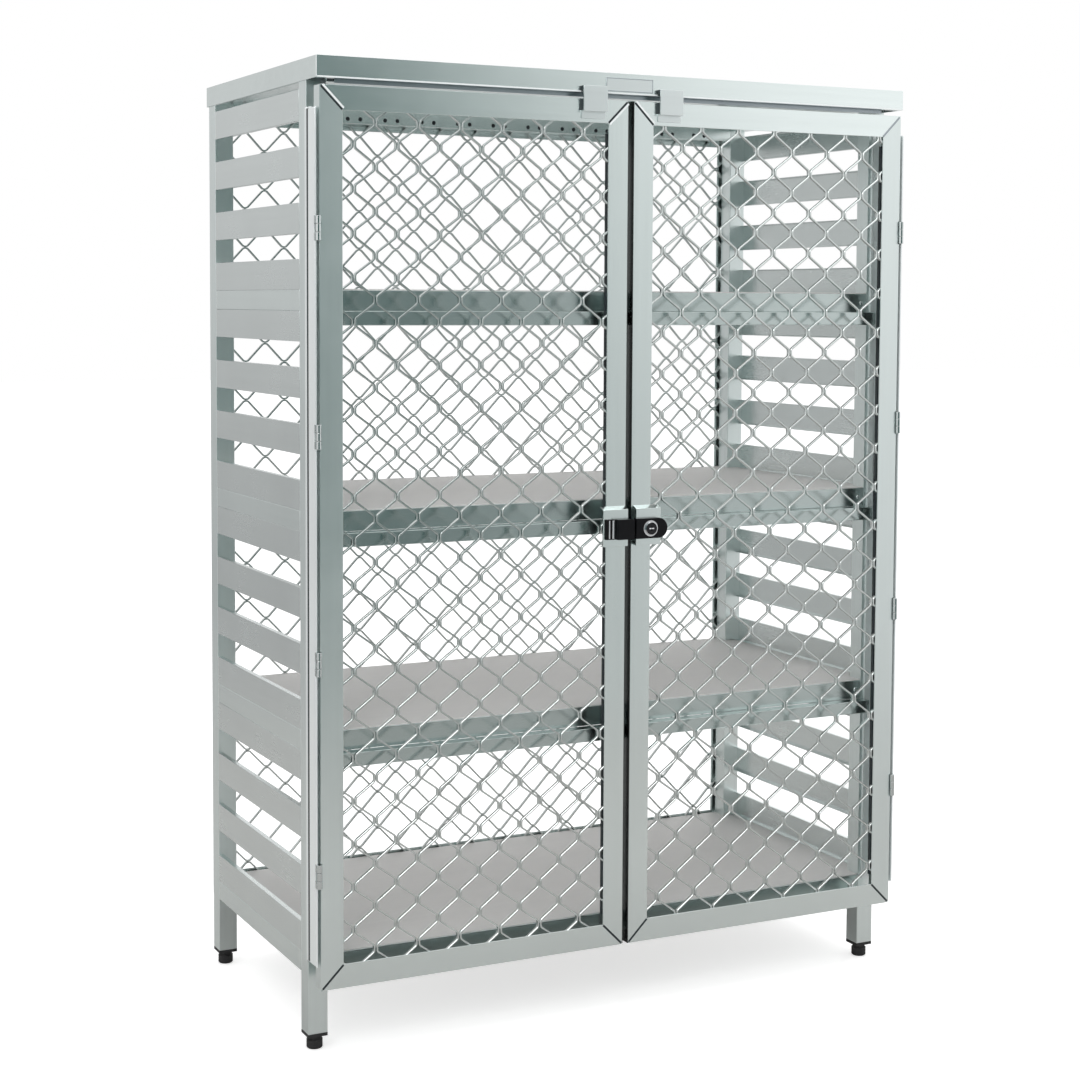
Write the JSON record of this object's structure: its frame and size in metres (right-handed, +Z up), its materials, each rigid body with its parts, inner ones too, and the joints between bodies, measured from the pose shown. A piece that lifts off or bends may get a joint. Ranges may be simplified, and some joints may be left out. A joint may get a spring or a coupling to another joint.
{
  "type": "security cage",
  "caption": "Free-standing lockable security cage of square aluminium tube with slatted sides, shelves, a mesh back and a pair of mesh doors with a key latch.",
  "frame": {"origin": "middle of the outline seen from above, on the floor under the feet", "axes": "+Z up, +X towards the right door as seen from the front, +Y towards the rear; the doors face -Y"},
  "size_m": [1.276, 0.6744, 1.815],
  "materials": {
    "frame_aluminium": "satin anodised",
    "mesh_aluminium": "mill finish",
    "shelf_sheet": "matte sheet",
    "hinge_steel": "satin",
    "latch_black": "black gloss",
    "key_chrome": "polished",
    "foot_plastic": "matte"
  },
  "bodies": {
    "cabinet": {"post_front_left": "frame_aluminium", "foot_front_left": "foot_plastic", "post_front_right": "frame_aluminium", "foot_front_right": "foot_plastic", "post_rear_left": "frame_aluminium", "foot_rear_left": "foot_plastic", "post_rear_right": "frame_aluminium", "foot_rear_right": "foot_plastic", "top_cap": "frame_aluminium", "top_rails": "frame_aluminium", "front_rails": "frame_aluminium", "rear_rails": "frame_aluminium", "side_rails_left": "frame_aluminium", "side_rails_right": "frame_aluminium", "stop_rails": "frame_aluminium", "shelf_bottom": "shelf_sheet", "shelf_lower": "shelf_sheet", "shelf_middle": "shelf_sheet", "shelf_upper": "shelf_sheet", "side_slats_left": "frame_aluminium", "side_slats_right": "frame_aluminium", "rear_frame": "frame_aluminium", "rear_mesh_lower": "mesh_aluminium", "rear_mesh_upper": "mesh_aluminium", "jamb_left": "frame_aluminium", "jamb_right": "frame_aluminium", "hinges_left": "hinge_steel", "hinges_right": "hinge_steel"},
    "left_door": {"left_door_hinge_stile": "frame_aluminium", "left_door_lock_stile": "frame_aluminium", "left_door_rails": "frame_aluminium", "left_door_mesh": "mesh_aluminium", "left_door_knuckles": "hinge_steel", "left_door_stop_plate": "frame_aluminium", "left_door_saddle": "frame_aluminium", "left_door_latch_keeper": "latch_black"},
    "right_door": {"right_door_hinge_stile": "frame_aluminium", "right_door_lock_stile": "frame_aluminium", "right_door_rails": "frame_aluminium", "right_door_mesh": "mesh_aluminium", "right_door_knuckles": "hinge_steel", "right_door_stop_plate": "frame_aluminium", "right_door_saddle": "frame_aluminium", "right_door_latch_bar": "latch_black", "right_door_key_cylinder": "key_chrome"}
  },
  "joints": [
    {"name": "left_door_hinge", "type": "hinge", "parent": "cabinet", "child": "left_door", "pos_m": [-0.6325, -0.31075, 0], "axis": [0, 0, -1], "range_deg": [0, 180]},
    {"name": "right_door_hinge", "type": "hinge", "parent": "cabinet", "child": "right_door", "pos_m": [0.6325, -0.31075, 0], "axis": [0, 0, 1], "range_deg": [0, 180]}
  ]
}
